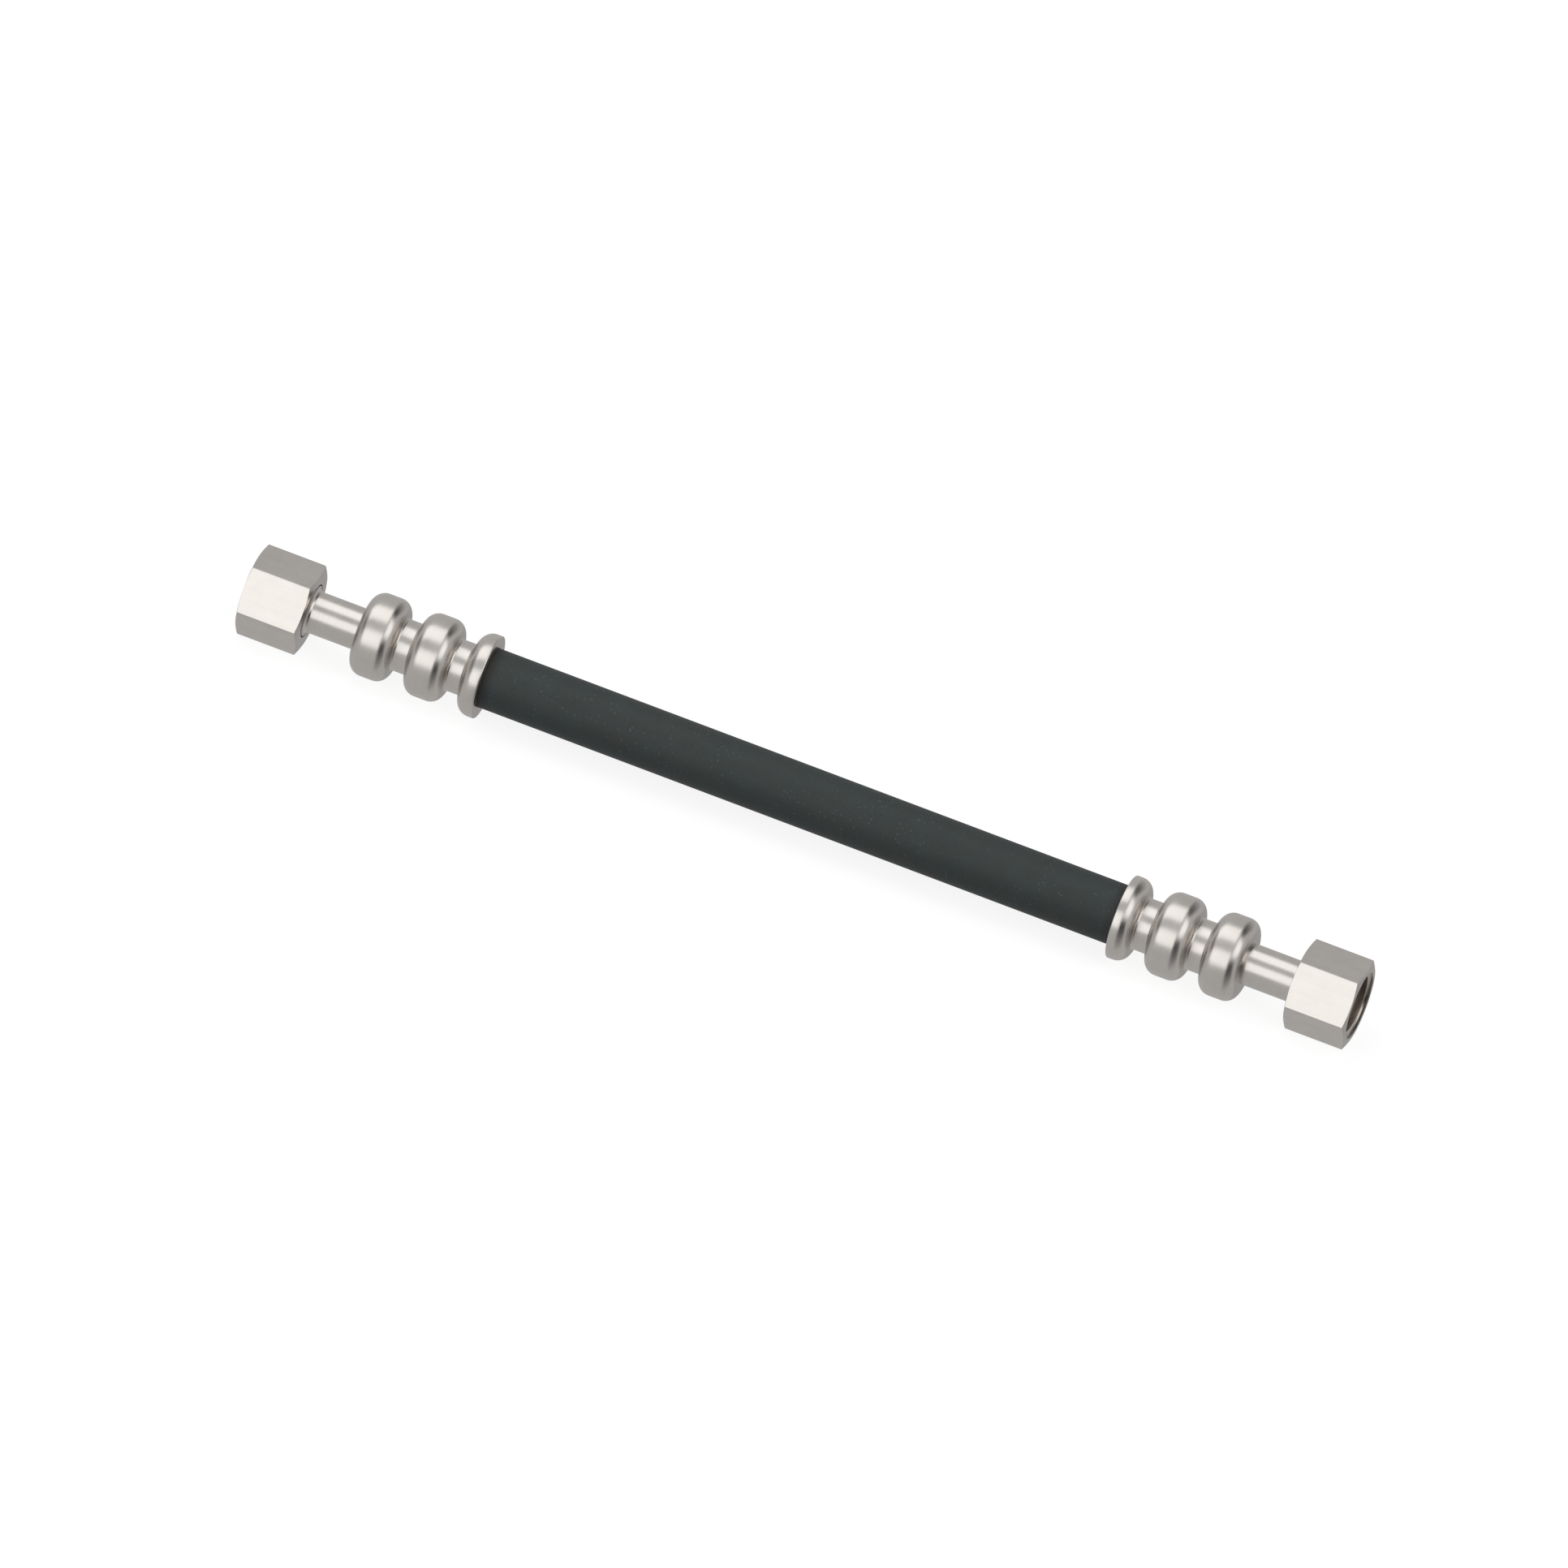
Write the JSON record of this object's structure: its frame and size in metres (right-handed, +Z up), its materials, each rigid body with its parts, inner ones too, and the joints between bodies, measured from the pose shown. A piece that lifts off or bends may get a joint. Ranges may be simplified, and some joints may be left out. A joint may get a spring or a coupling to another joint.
{
  "type": "hydraulic hose assembly",
  "caption": "Short straight hydraulic hose with a bubble-crimped ferrule and a hexagonal female swivel nut at each end.",
  "frame": {"origin": "middle of the hose, on the hose's axis, half way between the faces of the two nuts", "axes": "+X along the hose towards the right nut; +Z up, with a flat of each nut's hexagon facing up and one facing down"},
  "size_m": [0.2542, 0.0202, 0.0184],
  "materials": {
    "hose_rubber": "matt black, fine moulded grain",
    "crimped_steel": "satin warm grey plating",
    "turned_steel": "satin warm grey plating, turned",
    "milled_steel": "satin warm grey plating, milled flats"
  },
  "bodies": {
    "hose_assembly": {"hose": "hose_rubber", "left_stem": "turned_steel", "right_stem": "turned_steel", "left_ferrule": "crimped_steel", "right_ferrule": "crimped_steel"},
    "right_nut": {"right_swivel_nut": "milled_steel"},
    "left_nut": {"left_swivel_nut": "milled_steel"}
  },
  "joints": [
    {"name": "right_nut_swivel", "type": "hinge", "parent": "hose_assembly", "child": "right_nut", "pos_m": [0.12013, 0, 0], "axis": [1, 0, 0], "continuous": true},
    {"name": "left_nut_swivel", "type": "hinge", "parent": "hose_assembly", "child": "left_nut", "pos_m": [-0.12013, 0, 0], "axis": [1, 0, 0], "continuous": true}
  ]
}
